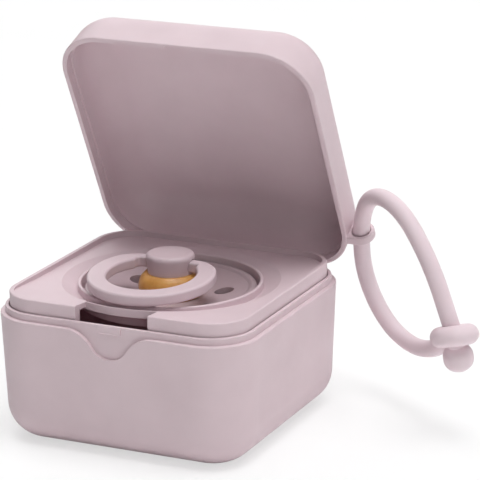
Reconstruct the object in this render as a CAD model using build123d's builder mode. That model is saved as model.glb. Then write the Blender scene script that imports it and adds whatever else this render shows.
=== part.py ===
"""Pacifier sterilizer case: a square moulded case with a hinged lid, a lift-out tray, a pacifier in the
tray's nest and a moulded carry strap on the lid's lug.

Millimetres. The origin is the centre of the case's flat underside, +Z up, the front faces -Y, the hinge is
at the back (+Y) and the strap hangs on the +X side. The lid is modelled standing open.
"""
import os
from math import atan, cos, degrees, hypot, radians, sin, sqrt

from build123d import *

# ---- base shell ----
case_side = 72.0  # square plan, over the shoulder
corner_radius = 13.0
shoulder_height = 33.8  # top of the outer wall, where the lid's rim lands
wall_lean = 1.5  # how far the outer wall comes in at the foot, each side
foot_radius = 9.5
floor_thickness = 2.0
shoulder_land = 1.3  # ledge outside the band
band_thickness = 0.85
band_height = 1.8  # band above the shoulder
seat_height = 19.0  # inner ledge that carries the tray
seat_land = 1.45
edge_round = 0.35  # small moulded edge radius

# ---- thumb scallop and latch ----
scallop_half = 12.2
scallop_depth = 7.0
scallop_bottom_radius = 6.0
latch_width = 6.5
latch_height = 2.0
latch_proud = 0.55
latch_nose = 0.4  # catch's blunt lower edge

# ---- lid ----
lid_open_angle = 63.8  # degrees from closed, as modelled
lid_overhang = 0.3  # lid stands out past the base, each side
lid_height = 15.4
lid_lean = 1.0
lid_top_radius = 9.0
lid_wall = 1.9
lid_roof = 1.8
rim_gap = 0.15  # rim above the shoulder when closed
band_gap = 0.25  # rebate round the band
rebate_depth = 2.65

# ---- hinge ----
hinge_out = 0.8  # axis outside the rear wall
hinge_drop = 0.8  # axis below the shoulder
barrel_radius = 2.0
pin_radius = 1.0
pin_play = 0.08  # running clearance in the lid's knuckle
pin_hold = 0.02  # pin in the base's ears
knuckle_half = 10.0
ear_width = 8.0
hinge_gap = 0.3

# ---- tray ----
slip_gap = 0.3  # tray skirt inside the base
tray_wall = 1.25
tray_rise = 3.6  # tray lip above the band
deck_drop_back = 1.5  # deck below the lip at the back
deck_drop_mid = 1.3
deck_ramp_start = -6.5  # the deck curves up to the front edge from here
deck_thickness = 1.4
dish_reach = 5.15  # dish outside the nest ring
dish_depth = 3.3  # nest ring's foot below the lip
dish_under = 1.1  # dish's thickness at its outer edge
window_half = 10.2
window_rim = 0.3  # deck kept outside the dish, behind the window
window_frame = 2.4  # skirt's thickness at the window's sides
window_margin = 1.5
window_depth = 6.2  # how far the window cuts down the skirt from the lip

# ---- pacifier ----
shield_radius = 22.5
nest_gap = 0.8
nest_wall = 0.95
nest_drop = 1.3  # nest ring's top below the lip
nest_depth = 3.7  # shield's seat below the ring's top
nest_seat_land = 3.0
nest_floor = 1.4
shield_rim = 1.5
shield_rim_height = 2.2
shield_sink = 2.6  # centre of the shield below its rim
shield_thickness = 2.2
vent_edge = 8.6  # vents' centres in from the shield's edge
vent_radius = 2.6
vent_side = 27.0  # degrees, side vents behind the left-to-right line
neck_radius = 6.4
collar_radius = 8.4
collar_top_radius = 6.7
collar_height = 6.2
teat_length = 23.6  # below the shield's underside
teat_bulb = 8.6
teat_wall = 1.5
plug_gap = 0.05
knob_radius = 6.35
knob_foot_radius = 5.9
knob_height = 5.45
knob_dome = 0.25
knob_round = 1.1
stem_radius = 3.1
stem_height = 0.5

# ---- handle ring ----
ring_outer = 16.7
ring_inner = 11.7
ring_thickness = 3.0
ring_reach = 10.9  # pivot to the ring's centre
ring_slope = 3.8  # degrees, front lower
pivot_back = 0.0  # pivot bar behind the pacifier's axis
pivot_rise = 2.15  # pivot bar above the knob's foot
pivot_radius = 1.25
pivot_play = 0.08
ring_side_gap = 2.45  # ring's inner sides outside the knob
ring_shoulder = 9.0  # corner between the ring's flat back and its round
nub_half = 1.3  # half the width of the nubs that enter the knob
nub_corner = 0.8  # seen from above, at the nubs' tips and where they leave the ring
nub_clear = 0.4  # nub's tip to the recess's floor
socket_radius = 1.85
socket_floor = 4.3  # knob's axis to the recess's floor

# ---- strap ----
strap_radius = 2.25
lug_corner = 10.2  # lug's centre in front of the shoulder's rear side
lug_rise = 3.9  # lug's centre above the shoulder, lid closed
lug_play = 0.38
lug_wall = 1.0
lug_width = 2.5
lug_round = 0.5
lug_mouth = 0.45  # rounding of the bore's two ends
lug_stand_off = 0.55  # strap clear of the lid's side
strap_turn = -38.0  # degrees, loop turned from straight out towards the front
strap_tip = -8.0  # degrees, strand leaning in the lug
strap_pass = 6.0  # degrees within the loop's plane, at the lug
# points of the cord's centreline from the lug: out from the case, and along the strand in the lug
strap_shoulder = (3.03, -10.56)
strap_crown = (27.96, -17.39)
strap_outer = (39.85, -4.95)
strap_heel = (-0.25, 7.15)
strap_foot = (16.26, 23.11)
strap_toe = (28.69, 19.97)
eye_run = 11.0  # straight run from the outer point to the eye
eye_outer = 6.3
eye_tube = 2.65
eye_lean = 13.2  # degrees out of the strap's plane, on the neck that the eye grips
eye_turn = 4.0  # degrees within it
join_out = 0.9  # from the eye's own centreline to where the lower run joins it
join_drop = 1.4
stop_radius = 3.95
stop_length = 7.3
stop_round = 3.3
stop_seat = 0.1  # how far the eye's mouth takes in the stop
stop_hang = 16.3  # degrees that the stop bends down from the run above the eye

# ---- worked-out sizes ----
half = case_side / 2
band_half = half - shoulder_land
cavity_half = band_half - band_thickness
seat_half = cavity_half - seat_land
band_top = shoulder_height + band_height
lip_z = band_top + tray_rise
tray_half = cavity_half - slip_gap
pocket_half = tray_half - tray_wall
wall_draft = degrees(atan(wall_lean / shoulder_height))


def corner_at(half_size):
    """Corner radius of a rounded square that runs parallel to the case's own outline."""
    return corner_radius - (half - half_size)


def square_at(half_size):
    """Rounded square parallel to the case's outline, in the sketch that is open."""
    return RectangleRounded(2 * half_size, 2 * half_size, corner_at(half_size))


os.makedirs("parts", exist_ok=True)

# ---- hinge axis and the frame that the open lid carries ----
hinge_y = half + hinge_out
hinge_z = shoulder_height - hinge_drop
open_cos = cos(radians(lid_open_angle))
open_sin = sin(radians(lid_open_angle))
# where the case's own origin and axes go when they swing open with the lid
lid_frame = Plane(
    origin=(
        0,
        hinge_y - hinge_y * open_cos - hinge_z * open_sin,
        hinge_z + hinge_y * open_sin - hinge_z * open_cos,
    ),
    x_dir=(1, 0, 0),
    z_dir=(0, open_sin, open_cos),
)
lid_side = Plane(origin=lid_frame.origin, x_dir=lid_frame.y_dir, z_dir=lid_frame.x_dir)
lid_up = Axis(lid_frame.origin, lid_frame.z_dir)
clear_radius = barrel_radius + hinge_gap

# ---- base shell ----
seat_z = seat_height
latch_top = band_top - edge_round / 2
with BuildPart() as well_core:  # the hollow under the tray
    with BuildSketch(Plane.XY.offset(seat_z)):
        square_at(seat_half)
    extrude(amount=-(seat_z - floor_thickness), taper=wall_draft)
    fillet(well_core.faces().sort_by(Axis.Z)[0].edges(), foot_radius - floor_thickness)

# the scallop's bottom arc and its two shoulder arcs are tangent
scallop_sum = (scallop_half**2 + scallop_depth**2) / (2 * scallop_depth)
scallop_share = scallop_bottom_radius / scallop_sum
scallop_low = shoulder_height - scallop_depth
scallop_join_x = scallop_half * scallop_share
scallop_join_z = scallop_low + scallop_bottom_radius - (scallop_sum - scallop_depth) * scallop_share

with BuildPart() as base_shell:
    with BuildSketch(Plane.XY.offset(shoulder_height)):
        square_at(half)
    extrude(amount=-shoulder_height, taper=wall_draft)
    fillet(base_shell.faces().sort_by(Axis.Z)[0].edges(), foot_radius)
    fillet(base_shell.faces().sort_by(Axis.Z)[-1].edges(), edge_round)
    # thumb scallop, down to the face that carries on from the band
    with BuildSketch(Plane.XZ.offset(half + 1)):
        with BuildLine():
            TangentArc((-scallop_half, shoulder_height), (-scallop_join_x, scallop_join_z), tangent=(1, 0))
            ThreePointArc((-scallop_join_x, scallop_join_z), (0, scallop_low), (scallop_join_x, scallop_join_z))
            TangentArc((scallop_half, shoulder_height), (scallop_join_x, scallop_join_z), tangent=(-1, 0))
            Polyline(
                (scallop_half, shoulder_height),
                (scallop_half, shoulder_height + 1),
                (-scallop_half, shoulder_height + 1),
                (-scallop_half, shoulder_height),
            )
        make_face()
    extrude(amount=-(half + 1 - band_half), mode=Mode.SUBTRACT)
    # band that the lid's rebate closes over
    with BuildSketch(Plane.XY.offset(shoulder_height - 1)):
        square_at(band_half)
    extrude(amount=band_height + 1)
    fillet(base_shell.faces().sort_by(Axis.Z)[-1].edges(), edge_round / 2)
    # latch catch, its lead-in rounding down and out from the band's top edge
    with BuildSketch(Plane.YZ.offset(-latch_width / 2)):
        with BuildLine():
            TangentArc(
                (-band_half - latch_proud, latch_top - latch_height + latch_nose),
                (-band_half, latch_top),
                tangent=(0, 1),
            )
            Polyline(
                (-band_half, latch_top),
                (-band_half + edge_round, latch_top),
                (-band_half + edge_round, latch_top - latch_height),
                (-band_half, latch_top - latch_height),
                (-band_half - latch_proud, latch_top - latch_height + latch_nose),
            )
        make_face()
    extrude(amount=latch_width)
    # hinge ears
    for ear_start in (-knuckle_half - hinge_gap - ear_width, knuckle_half + hinge_gap):
        with BuildSketch(Plane.YZ.offset(ear_start)):
            with Locations((hinge_y, hinge_z)):
                Circle(barrel_radius)
            with BuildLine():
                Polyline(
                    (band_half + edge_round, hinge_z),
                    (hinge_y + barrel_radius, hinge_z),
                    (half - wall_lean / 2, hinge_z - 3 * barrel_radius),
                    (band_half + edge_round, hinge_z - 3 * barrel_radius),
                    close=True,
                )
            make_face()
        extrude(amount=ear_width)
    # room for the lid's knuckle, and the pin's bore
    with BuildSketch(Plane.YZ.offset(-knuckle_half - hinge_gap)):
        with Locations((hinge_y, hinge_z)):
            Circle(clear_radius)
    extrude(amount=2 * (knuckle_half + hinge_gap), mode=Mode.SUBTRACT)
    with BuildSketch(Plane.YZ.offset(-half)):
        with Locations((hinge_y, hinge_z)):
            Circle(pin_radius + pin_hold)
    extrude(amount=case_side, mode=Mode.SUBTRACT)
    # cavity: tray bore above the seat, well below it
    with BuildSketch(Plane.XY.offset(seat_z)):
        square_at(cavity_half)
    extrude(amount=band_top - seat_z + 1, mode=Mode.SUBTRACT)
    add(well_core.part, mode=Mode.SUBTRACT)
base_shell.part.label = "base_shell"
export_step(base_shell.part, "parts/base_shell.step")

# ---- hinge pin ----
pin_half = knuckle_half + hinge_gap + ear_width
with BuildPart() as hinge_pin:
    with BuildSketch(Plane.YZ.offset(-pin_half)):
        with Locations((hinge_y, hinge_z)):
            Circle(pin_radius)
    extrude(amount=2 * pin_half)
    chamfer(hinge_pin.edges().filter_by(GeomType.CIRCLE), pin_radius / 5)
hinge_pin.part.label = "hinge_pin"
export_step(hinge_pin.part, "parts/hinge_pin.step")

# ---- lid ----
lid_half = half + lid_overhang
rim_z = shoulder_height + rim_gap
lid_draft = degrees(atan(lid_lean / lid_height))
rebate_half = band_half + band_gap
rebate_top = rim_z + rebate_depth
hollow_half = lid_half - lid_wall
hollow_top = rim_z + lid_height - lid_roof
lug_x = half + strap_radius + lug_stand_off
lug_y = half - lug_corner
lug_z = shoulder_height + lug_rise
lug_outer = strap_radius + lug_play + lug_wall
lug_root = lug_x - hollow_half - lid_wall / 2
# the lug's bore runs front to back when the lid is closed
lug_plane = Plane(
    origin=lid_frame.from_local_coords((lug_x, lug_y, lug_z)),
    x_dir=lid_frame.x_dir,
    z_dir=-lid_frame.y_dir,
)

with BuildPart() as lid_hollow:
    with BuildSketch(lid_frame.offset(rebate_top)):
        square_at(hollow_half)
    extrude(amount=hollow_top - rebate_top, taper=lid_draft)
    fillet(lid_hollow.faces().sort_by(lid_up)[-1].edges(), lid_top_radius - lid_roof)
    with BuildSketch(lid_frame.offset(rim_z - 1)):
        square_at(rebate_half)
    extrude(amount=rebate_depth + 1)

with BuildPart() as strap_lug:
    with BuildSketch(lug_plane.offset(-lug_width / 2)):
        Circle(lug_outer)
        with Locations((-lug_root / 2, 0)):
            Rectangle(lug_root, 2 * lug_outer)
        with Locations((-lug_root - lug_outer, 0)):
            Rectangle(2 * lug_outer, 4 * lug_outer, mode=Mode.SUBTRACT)
    extrude(amount=lug_width)
    # all round both faces but the root, which is inside the lid's wall
    face_edges = strap_lug.faces().filter_by(Axis(lid_frame.origin, lid_frame.y_dir)).edges()
    fillet(face_edges.sort_by(Axis(lug_plane.origin, lug_plane.x_dir))[2:], lug_round)
    with BuildSketch(lug_plane.offset(-lug_width)):
        Circle(strap_radius + lug_play)
    extrude(amount=2 * lug_width, mode=Mode.SUBTRACT)
    bore_ends = strap_lug.edges().filter_by(GeomType.CIRCLE)
    fillet(bore_ends.filter_by(lambda edge: abs(edge.radius - strap_radius - lug_play) < 0.001), lug_mouth)

with BuildPart() as lid_shell:
    with BuildSketch(lid_frame.offset(rim_z)):
        square_at(lid_half)
    extrude(amount=lid_height, taper=lid_draft)
    fillet(lid_shell.faces().sort_by(lid_up)[-1].edges(), lid_top_radius)
    fillet(lid_shell.faces().sort_by(lid_up)[0].edges(), edge_round)
    # knuckle, with its web up the rear wall
    with BuildSketch(lid_side.offset(-knuckle_half)):
        with Locations((hinge_y, hinge_z)):
            Circle(barrel_radius)
        with BuildLine():
            Polyline(
                (rebate_half + edge_round, hinge_z),
                (hinge_y + barrel_radius, hinge_z),
                (lid_half - lid_lean / 2, hinge_z + 3 * barrel_radius),
                (rebate_half + edge_round, hinge_z + 3 * barrel_radius),
                close=True,
            )
        make_face()
    extrude(amount=2 * knuckle_half)
    add(lid_hollow.part, mode=Mode.SUBTRACT)
    # room for the base's ears
    for ear_start in (-knuckle_half - 2 * hinge_gap - ear_width, knuckle_half):
        with BuildSketch(lid_side.offset(ear_start)):
            with Locations((hinge_y, hinge_z)):
                Circle(clear_radius)
        extrude(amount=ear_width + 2 * hinge_gap, mode=Mode.SUBTRACT)
    with BuildSketch(lid_side.offset(-case_side / 2)):
        with Locations((hinge_y, hinge_z)):
            Circle(pin_radius + pin_play)
    extrude(amount=case_side, mode=Mode.SUBTRACT)
    # channel in the rebate for the base's latch catch
    with BuildSketch(lid_frame.offset(rim_z - 1)):
        with Locations((0, -rebate_half)):
            Rectangle(latch_width + 4 * band_gap, 2 * (latch_proud + band_gap / 2))
    extrude(amount=rebate_depth + 1, mode=Mode.SUBTRACT)
    add(strap_lug.part)
lid_shell.part.label = "lid_shell"
export_step(lid_shell.part, "parts/lid_shell.step")

# ---- tray ----
nest_inner = shield_radius + nest_gap
nest_outer = nest_inner + nest_wall
nest_top = lip_z - nest_drop
nest_seat_z = nest_top - nest_depth
nest_bore = nest_inner - nest_seat_land
dish_outer = nest_outer + dish_reach
dish_z = lip_z - dish_depth
ramp_run = tray_half + deck_ramp_start


def deck_at(y):
    """Height of the deck on the ramp or the level part, at this distance from front to back."""
    if y < deck_ramp_start:
        share = ((deck_ramp_start - y) / ramp_run) ** 2
        return lip_z - deck_drop_mid + deck_drop_mid * share
    share = (y - deck_ramp_start) / (pocket_half - deck_ramp_start)
    return lip_z - deck_drop_mid - (deck_drop_back - deck_drop_mid) * share


deck_back_z = deck_at(pocket_half)
deck_mid_z = deck_at(deck_ramp_start)
with BuildPart() as deck_room:  # open space above the deck, inside the lip
    with BuildSketch(Plane.XY.offset(lip_z - 2 * deck_drop_back)):
        square_at(pocket_half)
    extrude(amount=4 * deck_drop_back)
    with BuildSketch(Plane.YZ.offset(-half)):
        with BuildLine():
            deck_line = Line((half, deck_back_z), (deck_ramp_start, deck_mid_z))
            TangentArc(deck_line @ 1, (-tray_half, lip_z), tangent=deck_line % 1)
            Polyline(
                (-tray_half, lip_z),
                (-half, lip_z),
                (-half, lip_z + 2 * deck_drop_back),
                (half, lip_z + 2 * deck_drop_back),
                (half, deck_back_z),
            )
        make_face()
    extrude(amount=case_side, mode=Mode.INTERSECT)

with BuildPart() as skirt_room:  # open space under the deck, inside the skirt
    with BuildSketch(Plane.XY.offset(seat_z - 1)):
        square_at(pocket_half)
    extrude(amount=lip_z - seat_z)
    with BuildSketch(Plane.YZ.offset(-half)):
        with BuildLine():
            under_line = Line((half, deck_back_z - deck_thickness), (deck_ramp_start, deck_mid_z - deck_thickness))
            TangentArc(under_line @ 1, (-tray_half, lip_z - deck_thickness), tangent=under_line % 1)
            Polyline(
                (-tray_half, lip_z - deck_thickness),
                (-half, lip_z - deck_thickness),
                (-half, seat_z - 2),
                (half, seat_z - 2),
                (half, deck_back_z - deck_thickness),
            )
        make_face()
    extrude(amount=case_side, mode=Mode.INTERSECT)

# the dish runs from the nest ring's level foot out to the deck
dish_front = Vector(0, -dish_outer, deck_at(-dish_outer))
dish_back = Vector(0, dish_outer, deck_at(dish_outer))
dish_normal = Vector(1, 0, 0).cross(dish_back - dish_front)
dish_rim = Plane(origin=(dish_front + dish_back) / 2, x_dir=(1, 0, 0), z_dir=dish_normal)
with BuildPart() as dish_room:
    with BuildSketch(Plane.XY.offset(dish_z)):
        Circle(nest_outer)
    with BuildSketch(dish_rim):
        Circle(dish_outer)
    loft(ruled=True)
    with BuildSketch(dish_rim):
        Circle(dish_outer)
    extrude(amount=2 * dish_depth)

with BuildPart() as dish_body:  # the dish's floor, which stands below the deck's underside
    with BuildSketch(Plane.XY.offset(dish_z - deck_thickness)):
        Circle(nest_outer)
    with BuildSketch(Plane.XY.offset(deck_mid_z - dish_under)):
        Circle(dish_outer + window_rim)
    loft(ruled=True)
    with BuildSketch(Plane.XY.offset(deck_mid_z - dish_under)):
        Circle(dish_outer + window_rim)
    extrude(amount=dish_under - deck_thickness / 4)

with BuildPart() as tray:
    with BuildSketch(Plane.XY.offset(seat_z)):
        square_at(tray_half)
    extrude(amount=lip_z - seat_z)
    fillet(tray.faces().sort_by(Axis.Z)[-1].edges(), edge_round)
    add(skirt_room.part, mode=Mode.SUBTRACT)
    # thicker skirt beside the window
    with BuildSketch(Plane.XY.offset(lip_z - window_depth - window_margin)):
        with Locations((0, window_frame / 2 - tray_half + edge_round / 2)):
            Rectangle(2 * (window_half + window_margin), window_frame - edge_round)
    extrude(amount=window_depth + window_margin - deck_thickness)
    add(dish_body.part)
    add(deck_room.part, mode=Mode.SUBTRACT)
    add(dish_room.part, mode=Mode.SUBTRACT)
    # nest: raised ring and the seat that carries the shield
    with BuildSketch(Plane.XY.offset(nest_seat_z - nest_floor)):
        Circle(nest_outer)
    extrude(amount=nest_depth + nest_floor)
    with BuildSketch(Plane.XY.offset(nest_seat_z)):
        Circle(nest_inner)
    extrude(amount=2 * nest_depth, mode=Mode.SUBTRACT)
    with BuildSketch(Plane.XY.offset(seat_z)):
        Circle(nest_bore)
    extrude(amount=lip_z - seat_z, mode=Mode.SUBTRACT)
    ring_edges = tray.edges().filter_by(GeomType.CIRCLE).filter_by_position(Axis.Z, nest_top - 0.05, nest_top + 0.05)
    fillet(ring_edges, 0.4 * nest_wall)
    # front window: down the skirt, and back over the deck to just outside the dish
    with BuildSketch(Plane.XY.offset(lip_z - window_depth)):
        with Locations((0, -half)):
            Rectangle(2 * window_half, case_side)
        Circle(dish_outer + window_rim, mode=Mode.SUBTRACT)
        with Locations((0, half)):
            Rectangle(2 * case_side, case_side, mode=Mode.SUBTRACT)
    extrude(amount=2 * window_depth, mode=Mode.SUBTRACT)
tray.part.label = "tray"
export_step(tray.part, "parts/tray.step")

# ---- pacifier shield ----
rim_inner = shield_radius - shield_rim
shield_rim_top = nest_seat_z + shield_rim_height
shield_mid = shield_rim_top - shield_sink
hub_radius = 9.5
with BuildPart() as pacifier_shield:
    with BuildSketch(Plane.XZ):
        with BuildLine():
            rim_side = Polyline(
                (rim_inner, shield_rim_top),
                (shield_radius, shield_rim_top),
                (shield_radius, nest_seat_z),
                (nest_bore - plug_gap * 4, nest_seat_z),
                (nest_bore - shield_rim / 2, nest_seat_z - shield_rim),
            )
            belly = ThreePointArc(
                rim_side @ 1,
                ((nest_bore + hub_radius) / 2, shield_mid - shield_thickness + 0.42),
                (hub_radius, shield_mid - shield_thickness),
            )
            Polyline(
                belly @ 1,
                (neck_radius + plug_gap, shield_mid - shield_thickness),
                (neck_radius + plug_gap, shield_mid),
                (hub_radius, shield_mid),
            )
            face = ThreePointArc(
                (hub_radius, shield_mid),
                ((rim_inner + hub_radius) / 2, shield_mid + 0.32 * shield_sink),
                (rim_inner - shield_rim / 2, shield_mid + 0.78 * shield_sink),
            )
            Line(face @ 1, (rim_inner, shield_rim_top))
        make_face()
    revolve(axis=Axis.Z)
    fillet(pacifier_shield.faces().sort_by(Axis.Z)[-1].edges(), shield_rim * 0.42)
    for vent_angle in (vent_side, 180 - vent_side, 270):
        with BuildSketch(Plane.XY.offset(shield_rim_top)):
            with PolarLocations(shield_radius - vent_edge, 1, start_angle=vent_angle):
                Circle(vent_radius)
        extrude(amount=-3 * shield_sink, mode=Mode.SUBTRACT)
pacifier_shield.part.label = "pacifier_shield"
export_step(pacifier_shield.part, "parts/pacifier_shield.step")

# ---- teat ----
shield_under = shield_mid - shield_thickness
knob_foot = shield_mid + collar_height
bore_radius = neck_radius - teat_wall - 0.2
teat_tip = shield_under - teat_length
with BuildPart() as pacifier_teat:
    with BuildSketch(Plane.XZ):
        with BuildLine():
            collar_top = Line((bore_radius, knob_foot), (collar_top_radius, knob_foot))
            ThreePointArc(
                collar_top @ 1,
                (collar_radius, knob_foot - collar_height * 0.45),
                (collar_radius - 0.7, shield_mid),
            )
            flange = Polyline(
                (collar_radius - 0.7, shield_mid),
                (neck_radius, shield_mid),
                (neck_radius, shield_under),
                (collar_radius + 0.2, shield_under),
                (collar_radius + 0.2, shield_under - teat_wall),
            )
            Spline(
                flange @ 1,
                (bore_radius + teat_wall, shield_under - 0.28 * teat_length),
                (teat_bulb, shield_under - 0.68 * teat_length),
                (0, teat_tip),
                tangents=((-0.6, -1), (-1, 0)),
            )
            Line((0, teat_tip), (0, teat_tip + teat_wall))
            Spline(
                (0, teat_tip + teat_wall),
                (teat_bulb - teat_wall, shield_under - 0.68 * teat_length),
                (bore_radius, shield_under - 0.28 * teat_length),
                tangents=((1, 0), (0, 1)),
            )
            Line((bore_radius, shield_under - 0.28 * teat_length), (bore_radius, knob_foot))
        make_face()
    revolve(axis=Axis.Z)
pacifier_teat.part.label = "pacifier_teat"
export_step(pacifier_teat.part, "parts/pacifier_teat.step")

# ---- plug inside the teat's neck, with the stem that carries the knob ----
plug_foot = shield_under - 0.2 * teat_length
with BuildPart() as teat_plug:
    with BuildSketch(Plane.XZ):
        with BuildLine():
            Polyline(
                (0, plug_foot),
                (bore_radius - plug_gap, plug_foot),
                (bore_radius - plug_gap, knob_foot),
                (stem_radius - plug_gap, knob_foot),
                (stem_radius - plug_gap, knob_foot + stem_height - plug_gap),
                (0, knob_foot + stem_height - plug_gap),
                close=True,
            )
        make_face()
    revolve(axis=Axis.Z)
    chamfer(teat_plug.edges().filter_by(GeomType.CIRCLE).sort_by(Axis.Z)[0], 0.6)
teat_plug.part.label = "teat_plug"
export_step(teat_plug.part, "parts/teat_plug.step")

# ---- knob ----
pivot_z = knob_foot + pivot_rise
knob_edge_z = knob_foot + knob_height - knob_dome
with BuildPart() as pacifier_knob:
    with BuildSketch(Plane.XZ):
        with BuildLine():
            Polyline(
                (0, knob_foot + stem_height),
                (stem_radius, knob_foot + stem_height),
                (stem_radius, knob_foot),
                (knob_foot_radius, knob_foot),
                (knob_radius, knob_foot + 0.7 * knob_height),
                (knob_radius, knob_edge_z),
            )
            ThreePointArc(
                (knob_radius, knob_edge_z),
                (knob_radius / 2, knob_foot + knob_height - knob_dome / 4),
                (0, knob_foot + knob_height),
            )
            Line((0, knob_foot + knob_height), (0, knob_foot + stem_height))
        make_face()
    revolve(axis=Axis.Z)
    knob_edges = pacifier_knob.edges().filter_by(GeomType.CIRCLE)
    fillet(knob_edges.filter_by_position(Axis.Z, knob_edge_z - 0.01, knob_edge_z + 0.01), knob_round)
    with BuildSketch(Plane.YZ.offset(-half)):
        with Locations((pivot_back, pivot_z)):
            Circle(pivot_radius + pivot_play)
    extrude(amount=case_side, mode=Mode.SUBTRACT)
    # recesses in the knob's sides for the ring's nubs
    for socket_start in (-socket_floor - half, socket_floor):
        with BuildSketch(Plane.YZ.offset(socket_start)):
            with Locations((pivot_back, pivot_z)):
                Circle(socket_radius)
        extrude(amount=half, mode=Mode.SUBTRACT)
pacifier_knob.part.label = "pacifier_knob"
export_step(pacifier_knob.part, "parts/pacifier_knob.step")

# ---- handle ring with its pivot bar ----
slope_cos = cos(radians(ring_slope))
slope_sin = sin(radians(ring_slope))
ring_plane = Plane(origin=(0, pivot_back, pivot_z), x_dir=(1, 0, 0), z_dir=(0, -slope_sin, slope_cos))
ring_cut = knob_radius + ring_side_gap
nub_start = socket_floor + nub_clear
bar_half = nub_start + nub_half
with BuildPart() as pacifier_ring:
    with BuildSketch(ring_plane.offset(-ring_thickness / 2)) as ring_outline:
        with Locations((0, -ring_reach)):
            Circle(ring_outer)
        with Locations((0, nub_half)):
            Rectangle(2 * ring_outer, ring_outer, align=(Align.CENTER, Align.MIN), mode=Mode.SUBTRACT)
        fillet(ring_outline.vertices().group_by(Axis.Y)[-1], ring_shoulder)
        with Locations((0, -ring_reach)):
            Circle(ring_inner, mode=Mode.SUBTRACT)
        with Locations((0, -nub_half)):
            Rectangle(2 * ring_cut, ring_reach, align=(Align.CENTER, Align.MAX), mode=Mode.SUBTRACT)
        Rectangle(2 * (knob_radius + nub_clear), 2 * nub_half)
        Rectangle(2 * nub_start, 4 * nub_half, mode=Mode.SUBTRACT)
        inner_side = [point for point in ring_outline.vertices() if abs(abs(point.X) - ring_cut) < 0.01]
        nub_tips = [point for point in ring_outline.vertices() if abs(abs(point.X) - nub_start) < 0.01]
        fillet(inner_side + nub_tips, nub_corner)
    extrude(amount=ring_thickness)
    ring_levels = pacifier_ring.faces().sort_by(Axis(ring_plane.origin, ring_plane.z_dir))
    fillet(ring_levels[0].edges() + ring_levels[-1].edges(), 0.7)
    with BuildSketch(Plane.YZ.offset(-bar_half)):
        with Locations((pivot_back, pivot_z)):
            Circle(pivot_radius)
    extrude(amount=2 * bar_half)
pacifier_ring.part.label = "pacifier_ring"
export_step(pacifier_ring.part, "parts/pacifier_ring.step")

# ---- carry strap ----
turn = radians(strap_turn)
tip = radians(strap_tip)
strap_out = lid_frame.x_dir * cos(turn) + lid_frame.z_dir * sin(turn)
strap_along = lid_frame.y_dir * cos(tip) + strap_out.cross(lid_frame.y_dir) * sin(tip)
strap_plane = Plane(origin=lug_plane.origin, x_dir=strap_out, z_dir=strap_out.cross(strap_along))
crossing = radians(strap_pass)
strap_down = strap_along * cos(crossing) - strap_out * sin(crossing)
eye_radius = eye_outer - eye_tube

# the cord's centreline lies in one plane: over the top, down through the eye, and round the bottom
with BuildLine(strap_plane) as upper_line:
    rise = TangentArc((0, 0), strap_shoulder, tangent=-strap_down)
    crown = TangentArc(strap_shoulder, strap_crown, tangent=rise % 1)
    fall = TangentArc(strap_crown, strap_outer, tangent=crown % 1)
    run = fall % 1
    eye_centre = fall @ 1 + run * eye_run
    Line(fall @ 1, eye_centre)
eye_side = run.cross(strap_plane.z_dir)
if eye_side.dot(strap_out) > 0:
    eye_side = -eye_side
eye_join = eye_centre + eye_side * (eye_radius + join_out) + run * join_drop
hang = radians(stop_hang)
stop_axis = run * cos(hang) + eye_side * sin(hang)
stop_start = eye_tube - stop_seat
lean = radians(eye_lean)
swerve = radians(eye_turn)
eye_axis = (run * cos(swerve) - eye_side * sin(swerve)) * cos(lean) - strap_plane.z_dir * sin(lean)
with BuildLine(strap_plane) as lower_line:
    drop = TangentArc((0, 0), strap_heel, tangent=strap_down)
    sole = TangentArc(strap_heel, strap_foot, tangent=drop % 1)
    toe = TangentArc(strap_foot, strap_toe, tangent=sole % 1)
    TangentArc(toe @ 1, eye_join, tangent=toe % 1)

with BuildPart() as strap_stop:
    with BuildSketch(Plane(origin=eye_centre + stop_axis * stop_start, z_dir=stop_axis)):
        Circle(stop_radius)
    extrude(amount=stop_length)
    fillet(strap_stop.edges().filter_by(GeomType.CIRCLE), stop_round)
    with BuildSketch(Plane(origin=eye_centre, z_dir=stop_axis)):
        Circle(strap_radius)
    extrude(amount=stop_start + stop_length / 2)

with BuildPart() as carry_strap:
    for line, heading in ((upper_line, -strap_down), (lower_line, strap_down)):
        with BuildSketch(Plane(origin=strap_plane.origin, z_dir=heading)):
            Circle(strap_radius)
        sweep(path=line.wires()[0])
    with Locations(Location(Plane(origin=eye_centre, z_dir=eye_axis))):
        Torus(eye_radius, eye_tube)
    with Locations(Location(eye_join)):
        Sphere(strap_radius)
    add(strap_stop.part)
carry_strap.part.label = "carry_strap"
export_step(carry_strap.part, "parts/carry_strap.step")
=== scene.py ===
"""Pacifier sterilizer case standing open on a pale studio floor."""

import math

import bmesh
import bpy
from mathutils import Matrix, Vector

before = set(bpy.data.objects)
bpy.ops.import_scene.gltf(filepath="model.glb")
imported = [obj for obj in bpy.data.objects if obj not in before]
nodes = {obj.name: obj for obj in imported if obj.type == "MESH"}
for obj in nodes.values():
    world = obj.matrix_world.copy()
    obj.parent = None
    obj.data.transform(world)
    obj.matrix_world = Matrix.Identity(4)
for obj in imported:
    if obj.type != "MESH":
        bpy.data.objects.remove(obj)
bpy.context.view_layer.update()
scene = bpy.context.scene
MM = 0.001

# ---------------------------------------------------------------- materials

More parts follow.
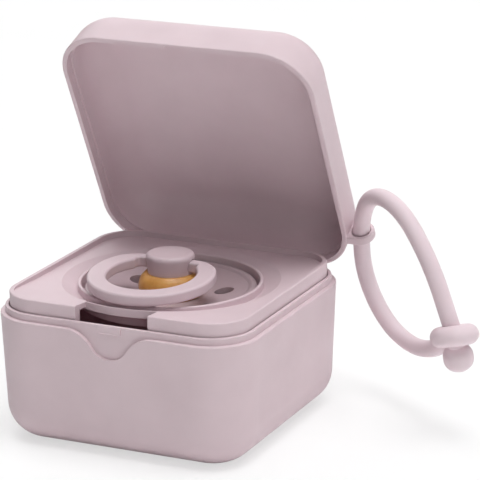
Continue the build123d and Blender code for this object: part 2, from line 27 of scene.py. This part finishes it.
NOISE_LOW = 0.3  # most noise values lie between these two
NOISE_HIGH = 0.7
TONE_DRIFT_MM = 16.0
SHEEN_PATCH_MM = 5.0
RIPPLE_MM = 12.0
RIPPLE_DEPTH_MM = 0.006
PLASTIC_SCATTER_MM = 1.2
PLASTIC_SCATTER_TINT = (1.0, 0.7, 0.7)
LATEX_STREAK_MM = 4.0
LATEX_SHEEN_MM = 2.5
LATEX_SKIN_MM = 1.2
LATEX_SKIN_DEPTH_MM = 0.02
LATEX_SCATTER = 0.35
LATEX_SCATTER_MM = 2.0
LATEX_SCATTER_TINT = (1.0, 0.45, 0.2)
STEEL_MARK_MM = 0.35
STEEL_STRETCH = 0.04  # share of a mark's pitch that is left along the pin


def srgb(red, green, blue):
    """Linear colour from the 0 to 255 numbers of a paint chart."""
    out = []
    for value in (red, green, blue):
        share = value / 255
        out.append(share / 12.92 if share <= 0.04045 else ((share + 0.055) / 1.055) ** 2.4)
    return (*out, 1.0)


def empty_material(name):
    """A node material with a shader and an output, and its Object coordinates."""
    material = bpy.data.materials.new(name)
    material.use_nodes = True
    tree = material.node_tree
    tree.nodes.clear()
    output = tree.nodes.new("ShaderNodeOutputMaterial")
    shader = tree.nodes.new("ShaderNodeBsdfPrincipled")
    coords = tree.nodes.new("ShaderNodeTexCoord")
    tree.links.new(shader.outputs["BSDF"], output.inputs["Surface"])
    return material, tree, shader, coords


def noise(tree, coords, size_mm, detail=2.0, roughness=0.5):
    """Noise whose blotches are about size_mm across."""
    texture = tree.nodes.new("ShaderNodeTexNoise")
    texture.inputs["Scale"].default_value = 1 / (size_mm * MM)
    texture.inputs["Detail"].default_value = detail
    texture.inputs["Roughness"].default_value = roughness
    tree.links.new(coords.outputs["Object"], texture.inputs["Vector"])
    return texture


def ramp(tree, source, low, high, start=0.35, end=0.65):
    """Colour between two tones as the source goes from start to end."""
    node = tree.nodes.new("ShaderNodeValToRGB")
    node.color_ramp.elements[0].position = start
    node.color_ramp.elements[0].color = low
    node.color_ramp.elements[1].position = end
    node.color_ramp.elements[1].color = high
    tree.links.new(source.outputs["Fac"], node.inputs["Fac"])
    return node


def spread(tree, source, low, high):
    """Number between low and high as the source goes over its usual range."""
    node = tree.nodes.new("ShaderNodeMapRange")
    node.inputs["From Min"].default_value = NOISE_LOW
    node.inputs["From Max"].default_value = NOISE_HIGH
    node.inputs["To Min"].default_value = low
    node.inputs["To Max"].default_value = high
    tree.links.new(source.outputs["Fac"], node.inputs["Value"])
    return node


def relief(tree, source, depth_mm, below=None):
    """Bump of that depth, on top of another bump where one is given."""
    node = tree.nodes.new("ShaderNodeBump")
    node.inputs["Strength"].default_value = 1.0
    node.inputs["Distance"].default_value = depth_mm * MM
    tree.links.new(source.outputs["Fac"], node.inputs["Height"])
    if below is not None:
        tree.links.new(below.outputs["Normal"], node.inputs["Normal"])
    return node


def moulded(name, light, dark, gloss, grain_mm, grain_depth_mm, scatter=0.0):
    """Moulded plastic: faint tone drift, spark-eroded grain, slow ripple from the cooling mould."""
    material, tree, shader, coords = empty_material(name)
    drift = noise(tree, coords, TONE_DRIFT_MM, 3.0)
    tone = ramp(tree, drift, dark, light, 0.3, 0.62)
    tree.links.new(tone.outputs["Color"], shader.inputs["Base Color"])
    sheen_patch = noise(tree, coords, SHEEN_PATCH_MM, 4.0, 0.6)
    gloss_range = spread(tree, sheen_patch, *gloss)
    tree.links.new(gloss_range.outputs["Result"], shader.inputs["Roughness"])
    ripple = relief(tree, noise(tree, coords, RIPPLE_MM, 1.0), RIPPLE_DEPTH_MM)
    grain = relief(tree, noise(tree, coords, grain_mm, 2.0, 0.6), grain_depth_mm, ripple)
    tree.links.new(grain.outputs["Normal"], shader.inputs["Normal"])
    shader.inputs["Subsurface Weight"].default_value = scatter
    shader.inputs["Subsurface Radius"].default_value = PLASTIC_SCATTER_TINT
    shader.inputs["Subsurface Scale"].default_value = PLASTIC_SCATTER_MM * MM
    return material


def latex_amber(name):
    """Amber latex: honey tone, darker streaks from dipping, soft shine."""
    material, tree, shader, coords = empty_material(name)
    streaks = noise(tree, coords, LATEX_STREAK_MM, 4.0, 0.6)
    tone = ramp(tree, streaks, srgb(194, 136, 66), srgb(219, 165, 94), 0.3, 0.7)
    tree.links.new(tone.outputs["Color"], shader.inputs["Base Color"])
    gloss_range = spread(tree, noise(tree, coords, LATEX_SHEEN_MM), 0.3, 0.44)
    tree.links.new(gloss_range.outputs["Result"], shader.inputs["Roughness"])
    skin = relief(tree, noise(tree, coords, LATEX_SKIN_MM, 3.0), LATEX_SKIN_DEPTH_MM)
    tree.links.new(skin.outputs["Normal"], shader.inputs["Normal"])
    shader.inputs["Subsurface Weight"].default_value = LATEX_SCATTER
    shader.inputs["Subsurface Radius"].default_value = LATEX_SCATTER_TINT
    shader.inputs["Subsurface Scale"].default_value = LATEX_SCATTER_MM * MM
    return material


def drawn_steel(name):
    """Steel wire with marks along its length."""
    material, tree, shader, coords = empty_material(name)
    stretch = tree.nodes.new("ShaderNodeMapping")
    stretch.inputs["Scale"].default_value = (STEEL_STRETCH, 1.0, 1.0)
    tree.links.new(coords.outputs["Object"], stretch.inputs["Vector"])
    marks = noise(tree, coords, STEEL_MARK_MM, 3.0)
    tree.links.new(stretch.outputs["Vector"], marks.inputs["Vector"])
    tone = ramp(tree, marks, srgb(150, 150, 152), srgb(196, 196, 198))
    tree.links.new(tone.outputs["Color"], shader.inputs["Base Color"])
    gloss_range = spread(tree, marks, 0.22, 0.4)
    tree.links.new(gloss_range.outputs["Result"], shader.inputs["Roughness"])
    shader.inputs["Metallic"].default_value = 1.0
    return material


CASE_TONES = (srgb(218, 198, 204), srgb(213, 193, 199))
SHIELD_TONES = (srgb(188, 168, 174), srgb(183, 163, 169))
RING_TONES = (srgb(214, 195, 201), srgb(209, 190, 196))
KNOB_TONES = (srgb(209, 189, 195), srgb(204, 184, 190))
PLUG_TONES = (srgb(226, 216, 212), srgb(220, 209, 205))
STRAP_TONES = (srgb(229, 211, 217), srgb(224, 206, 212))

# each node's finish: roughness range, grain pitch and depth in mm, and share of scattered light
case_pink = moulded("case_pink", *CASE_TONES, (0.5, 0.6), 0.5, 0.002, 0.04)
lid_pink = moulded("lid_pink", *CASE_TONES, (0.5, 0.6), 0.5, 0.002, 0.04)
tray_pink = moulded("tray_pink", *CASE_TONES, (0.48, 0.58), 0.5, 0.002, 0.04)
shield_pink = moulded("shield_pink", *SHIELD_TONES, (0.4, 0.5), 0.8, 0.002, 0.06)
ring_pink = moulded("ring_pink", *RING_TONES, (0.4, 0.5), 0.8, 0.002, 0.06)
knob_pink = moulded("knob_pink", *KNOB_TONES, (0.42, 0.52), 0.8, 0.002, 0.05)
plug_white = moulded("plug_white", *PLUG_TONES, (0.4, 0.5), 0.8, 0.004)
strap_silicone = moulded("strap_silicone", *STRAP_TONES, (0.55, 0.65), 0.6, 0.003, 0.12)
teat_latex = latex_amber("teat_latex")
pin_steel = drawn_steel("pin_steel")

finishes = {
    "base_shell": case_pink,
    "hinge_pin": pin_steel,
    "lid_shell": lid_pink,
    "carry_strap": strap_silicone,
    "tray": tray_pink,
    "pacifier_shield": shield_pink,
    "pacifier_teat": teat_latex,
    "teat_plug": plug_white,
    "pacifier_knob": knob_pink,
    "pacifier_ring": ring_pink,
}
for node_name, finish in finishes.items():
    for material_slot in nodes[node_name].material_slots:
        material_slot.material = finish

# ---------------------------------------------------------------- floor and light

FLOOR_HALF = 3.0
FLOOR_BLOTCH_MM = 90.0
FLOOR_GLOW = 0.6  # share of the floor that the camera sees as plain white
BOX_SIDE = 0.9
DOME_RADIUS = 1.6
DOME_CENTRE = Vector((0, 0, 0.04))
SOFT_BOXES = (  # bearing from the front, height in degrees, watts
    (45, 5, 2.4),
    (135, 5, 1.5),
    (30, 25, 3.0),
    (120, 25, 2.5),
    (210, 25, 3.3),
    (150, 48, 3.2),
    (240, 48, 5.7),
    (45, 70, 7.2),
    (90, 70, 7.0),
    (270, 70, 1.3),
    (0, 90, 6.3),
)
SEEP_WATTS = 0.001
SEEP_COLOUR = (1.0, 0.5, 0.6)
SEEP_SOFTNESS = 0.008
SEEP_PLACE = (0.0, -0.026, 0.012)  # in the well, behind the front window


def ray_from(azimuth, elevation):
    """Unit vector towards a bearing from the front and a height, both in radians."""
    level = math.cos(elevation)
    return Vector((math.sin(azimuth) * level, -math.cos(azimuth) * level, math.sin(elevation)))


def studio_floor():
    """Pale level sheet under the case, far wider than the view."""
    sheet = bmesh.new()
    bmesh.ops.create_grid(sheet, x_segments=1, y_segments=1, size=FLOOR_HALF)
    mesh = bpy.data.meshes.new("studio_floor")
    sheet.to_mesh(mesh)
    sheet.free()
    floor = bpy.data.objects.new("studio_floor", mesh)
    scene.collection.objects.link(floor)
    material, tree, shader, coords = empty_material("floor_paper")
    blotches = noise(tree, coords, FLOOR_BLOTCH_MM, 2.0)
    tone = ramp(tree, blotches, srgb(250, 250, 250), srgb(254, 254, 254))
    tree.links.new(tone.outputs["Color"], shader.inputs["Base Color"])
    shader.inputs["Roughness"].default_value = 0.9
    shader.inputs["Specular IOR Level"].default_value = 0.1
    glow = tree.nodes.new("ShaderNodeEmission")
    glow.inputs["Color"].default_value = (1, 1, 1, 1)
    sight = tree.nodes.new("ShaderNodeLightPath")
    share = tree.nodes.new("ShaderNodeMath")
    share.operation = "MULTIPLY"
    share.inputs[1].default_value = FLOOR_GLOW
    tree.links.new(sight.outputs["Is Camera Ray"], share.inputs[0])
    blend = tree.nodes.new("ShaderNodeMixShader")
    tree.links.new(share.outputs["Value"], blend.inputs["Fac"])
    tree.links.new(shader.outputs["BSDF"], blend.inputs[1])
    tree.links.new(glow.outputs["Emission"], blend.inputs[2])
    tree.links.new(blend.outputs["Shader"], tree.nodes["Material Output"].inputs["Surface"])
    mesh.materials.append(material)


def soft_box(azimuth_deg, elevation_deg, watts):
    """Square lamp on a wide dome round the case, named by its bearing and its height."""
    lamp = bpy.data.lights.new(f"soft_box_{azimuth_deg:03d}_{elevation_deg:02d}", "AREA")
    lamp.shape = "SQUARE"
    lamp.size = BOX_SIDE
    lamp.energy = watts
    ray = ray_from(math.radians(azimuth_deg), math.radians(elevation_deg))
    holder = bpy.data.objects.new(lamp.name, lamp)
    holder.location = DOME_CENTRE + ray * DOME_RADIUS
    holder.rotation_euler = ray.to_track_quat("Z", "Y").to_euler()
    holder.visible_camera = False
    scene.collection.objects.link(holder)


def well_seep():
    """Small lamp for the light that seeps through the walls into the well."""
    seep = bpy.data.lights.new("well_seep", "POINT")
    seep.energy = SEEP_WATTS
    seep.color = SEEP_COLOUR
    seep.shadow_soft_size = SEEP_SOFTNESS
    holder = bpy.data.objects.new("well_seep", seep)
    holder.location = SEEP_PLACE
    holder.visible_camera = False
    scene.collection.objects.link(holder)


def studio_air():
    """White surroundings that only the camera sees, so the lamps alone light the case."""
    world = bpy.data.worlds.new("studio_air")
    world.use_nodes = True
    air = world.node_tree
    sky = air.nodes["Background"]
    sky.inputs["Color"].default_value = (1, 1, 1, 1)
    seen = air.nodes.new("ShaderNodeLightPath")
    air.links.new(seen.outputs["Is Camera Ray"], sky.inputs["Strength"])
    scene.world = world
    scene.view_settings.view_transform = "Standard"


studio_floor()
for bearing_deg, height_deg, lamp_watts in SOFT_BOXES:
    soft_box(bearing_deg, height_deg, lamp_watts)
well_seep()
studio_air()

# ---------------------------------------------------------------- camera

VIEW_AZIMUTH = math.radians(25.21)
VIEW_ELEVATION = math.radians(16.76)
VIEW_ROLL = math.radians(-0.63)
VIEW_DISTANCE = 0.69468
VIEW_TARGET = Vector((0.0201, 0, 0.05091))
SENSOR_MM = 36.0
LENS_MM = 203.18025
CLIP_NEAR = 0.01
CLIP_FAR = 20.0


def view_camera():
    """Long lens from the front right, a little above the case."""
    back = ray_from(VIEW_AZIMUTH, VIEW_ELEVATION)
    right = Vector((math.cos(VIEW_AZIMUTH), math.sin(VIEW_AZIMUTH), 0))
    up = back.cross(right)
    turned_right = right * math.cos(VIEW_ROLL) + up * math.sin(VIEW_ROLL)
    turned_up = up * math.cos(VIEW_ROLL) - right * math.sin(VIEW_ROLL)
    lens = bpy.data.cameras.new("view_camera")
    lens.sensor_width = SENSOR_MM
    lens.sensor_fit = "HORIZONTAL"
    lens.lens = LENS_MM
    lens.clip_start = CLIP_NEAR
    lens.clip_end = CLIP_FAR
    camera = bpy.data.objects.new("view_camera", lens)
    turn = Matrix((turned_right, turned_up, back)).transposed().to_4x4()
    camera.matrix_world = Matrix.Translation(VIEW_TARGET + back * VIEW_DISTANCE) @ turn
    scene.collection.objects.link(camera)
    scene.camera = camera


view_camera()

bpy.context.view_layer.update()
